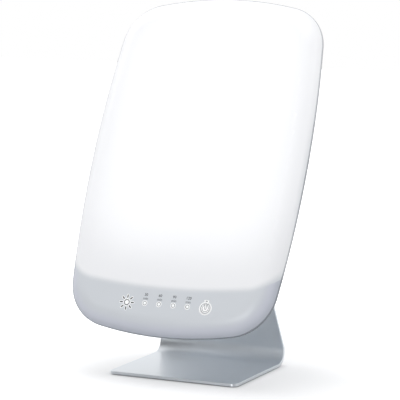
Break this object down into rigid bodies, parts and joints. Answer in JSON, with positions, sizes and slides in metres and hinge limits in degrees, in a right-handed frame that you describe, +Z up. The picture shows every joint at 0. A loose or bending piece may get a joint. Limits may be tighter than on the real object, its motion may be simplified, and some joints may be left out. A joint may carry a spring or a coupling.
{
  "type": "light therapy lamp",
  "caption": "Large domed light panel with a grey control band, tilting on a friction hinge at the top of a bent aluminium plate stand.",
  "frame": {"origin": "on the table, under the middle of the overall width and depth", "axes": "+X to the right of someone facing the lamp, +Y to the back, +Z up"},
  "size_m": [0.3642, 0.2583, 0.5689],
  "materials": {
    "stand_aluminium": "satin anodised",
    "pad_rubber": "matte",
    "hinge_steel": "zinc plated",
    "bush_nylon": "matte",
    "opal_acrylic": "opal, lit from behind",
    "band_plastic": "satin silver grey",
    "trim_plastic": "satin light grey",
    "housing_plastic": "fine grain white",
    "tray_enamel": "matte white",
    "film_plastic": "frosted",
    "board_fibreglass": "solder mask",
    "strip_fibreglass": "white solder mask",
    "led_resin": "cast resin",
    "rivet_plastic": "matte",
    "baffle_foam": "closed-cell foam",
    "chip_plastic": "matte",
    "ferrite": "matte",
    "can_aluminium": "sleeved",
    "sink_aluminium": "extruded",
    "pipe_acrylic": "clear",
    "button_plastic": "satin",
    "switch_plastic": "matte",
    "inlet_plastic": "matte",
    "contact_brass": "nickel plated",
    "lead_insulation": "PVC",
    "ribbon_insulation": "flat ribbon"
  },
  "bodies": {
    "stand": {"stand_plate": "stand_aluminium", "foot_pads": "pad_rubber", "stand_hinge_leaf": "hinge_steel", "stand_leaf_screws": "hinge_steel", "friction_washers": "bush_nylon", "hinge_pin": "hinge_steel", "spring_washers": "hinge_steel", "hinge_nut": "hinge_steel"},
    "head": {"head_hinge_leaf": "hinge_steel", "hinge_bushes": "bush_nylon", "head_leaf_screws": "hinge_steel", "stiffener_plate": "hinge_steel", "trim_ring": "trim_plastic", "rear_housing": "housing_plastic", "housing_screws": "hinge_steel", "diffuser": "opal_acrylic", "control_fascia": "band_plastic", "reflector_tray": "tray_enamel", "tray_screws": "hinge_steel", "led_strips": "strip_fibreglass", "led_packages": "led_resin", "strip_rivets": "rivet_plastic", "diffuser_film": "film_plastic", "light_baffle": "baffle_foam", "control_board": "board_fibreglass", "control_board_screws": "hinge_steel", "indicator_leds": "led_resin", "time_light_pipes": "pipe_acrylic", "button_switch": "switch_plastic", "control_connector": "chip_plastic", "driver_board": "board_fibreglass", "driver_screws": "hinge_steel", "driver_inductors": "ferrite", "driver_capacitors": "can_aluminium", "driver_chips": "chip_plastic", "driver_heatsink": "sink_aluminium", "driver_connectors": "rivet_plastic", "control_cable": "ribbon_insulation", "light_leads": "lead_insulation", "inlet_socket": "inlet_plastic", "inlet_contact": "contact_brass", "inlet_nut": "hinge_steel", "inlet_leads": "lead_insulation"},
    "button": {"power_button": "button_plastic", "switch_plunger": "switch_plastic"}
  },
  "joints": [
    {"name": "head_tilt", "type": "hinge", "parent": "stand", "child": "head", "pos_m": [0, 0.00924, 0.24782], "axis": [1, 0, 0], "range_deg": [-10, 15]},
    {"name": "button_press", "type": "slide", "parent": "head", "child": "button", "axis": [0, 0.9041, -0.4274], "range_m": [0, 0.0008], "stiffness_N_per_m": 2000, "springref_m": -0.0004}
  ]
}
